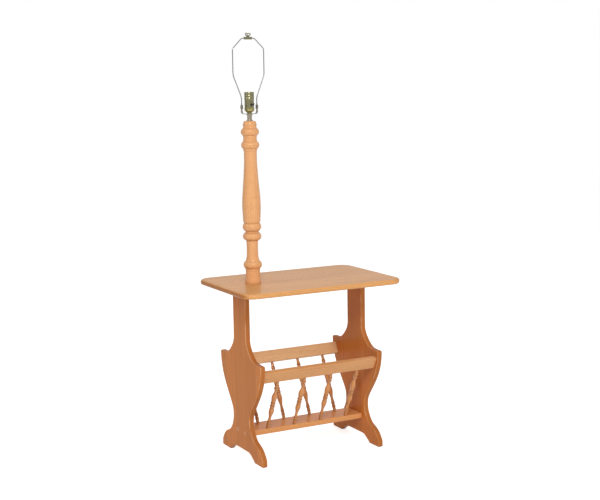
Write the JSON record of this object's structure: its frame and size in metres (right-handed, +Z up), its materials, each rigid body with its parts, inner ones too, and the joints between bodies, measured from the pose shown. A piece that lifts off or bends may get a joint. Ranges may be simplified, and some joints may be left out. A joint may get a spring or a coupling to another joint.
{
  "type": "floor lamp with table",
  "caption": "Wooden side table with a magazine rack and a turned lamp column, with a socket and harp for a shade.",
  "frame": {"origin": "on the floor, at the middle of the table", "axes": "+X along the table away from the lamp column, +Y from the front to the back, +Z up"},
  "size_m": [0.635, 0.425, 1.5117],
  "materials": {
    "top_wood": "satin clear lacquer over light oak",
    "panel_wood": "satin clear lacquer over light oak",
    "rack_wood": "satin clear lacquer over light oak",
    "spindle_wood": "satin clear lacquer over turned oak",
    "column_wood": "satin clear lacquer over turned oak",
    "plug_wood": "end grain plugs, lacquered",
    "block_wood": "unfinished softwood",
    "brass": "polished and lacquered",
    "shell_brass": "rolled sheet brass, satin",
    "nickel": "nickel plated wire",
    "zinc_steel": "zinc plated steel",
    "socket_aluminium": "drawn sheet",
    "key_plastic": "moulded, black",
    "socket_plastic": "moulded phenolic, dark brown",
    "bushing_plastic": "moulded, black",
    "liner_card": "pressed fibre card"
  },
  "bodies": {
    "table": {"table_top": "top_wood", "left_end_panel": "panel_wood", "right_end_panel": "panel_wood", "left_top_cleat": "block_wood", "right_top_cleat": "block_wood", "shelf": "rack_wood", "front_rail": "rack_wood", "back_rail": "rack_wood", "front_spindle_1": "spindle_wood", "front_spindle_2": "spindle_wood", "front_spindle_3": "spindle_wood", "front_spindle_4": "spindle_wood", "back_spindle_1": "spindle_wood", "back_spindle_2": "spindle_wood", "back_spindle_3": "spindle_wood", "back_spindle_4": "spindle_wood", "panel_screws": "zinc_steel", "screw_plugs": "plug_wood", "cleat_screws": "zinc_steel", "lamp_column": "column_wood", "lamp_pipe": "zinc_steel", "pipe_washer": "zinc_steel", "pipe_nut": "zinc_steel", "cord_bushing": "bushing_plastic", "lamp_neck": "brass", "harp_saddle": "nickel", "socket_cap": "brass", "socket_shell": "shell_brass", "socket_liner": "liner_card", "socket_body": "socket_plastic", "terminal_screws": "brass", "screw_shell": "socket_aluminium", "centre_contact": "shell_brass"},
    "key": {"switch_key": "key_plastic"},
    "harp": {"harp_wire": "nickel", "harp_top_plate": "brass"},
    "left_sleeve": {"left_harp_sleeve": "nickel"},
    "right_sleeve": {"right_harp_sleeve": "nickel"},
    "stud": {"shade_stud": "brass"},
    "finial": {"finial": "brass"}
  },
  "joints": [
    {"name": "key_turn", "type": "hinge", "parent": "table", "child": "key", "pos_m": [-0.188, -0.02, 1.2625], "axis": [0, -1, 0], "continuous": true},
    {"name": "harp_lift", "type": "slide", "parent": "table", "child": "harp", "axis": [0, 0, 1], "range_m": [0, 0.06]},
    {"name": "left_sleeve_slide", "type": "slide", "parent": "harp", "child": "left_sleeve", "axis": [0, 0, 1], "range_m": [0, 0.012]},
    {"name": "right_sleeve_slide", "type": "slide", "parent": "harp", "child": "right_sleeve", "axis": [0, 0, 1], "range_m": [0, 0.012]},
    {"name": "shade_swivel", "type": "hinge", "parent": "harp", "child": "stud", "pos_m": [-0.188, 0, 1.5], "axis": [0, 0, 1], "continuous": true},
    {"name": "finial_lift", "type": "slide", "parent": "stud", "child": "finial", "axis": [0, 0, 1], "range_m": [0, 0.03]}
  ]
}
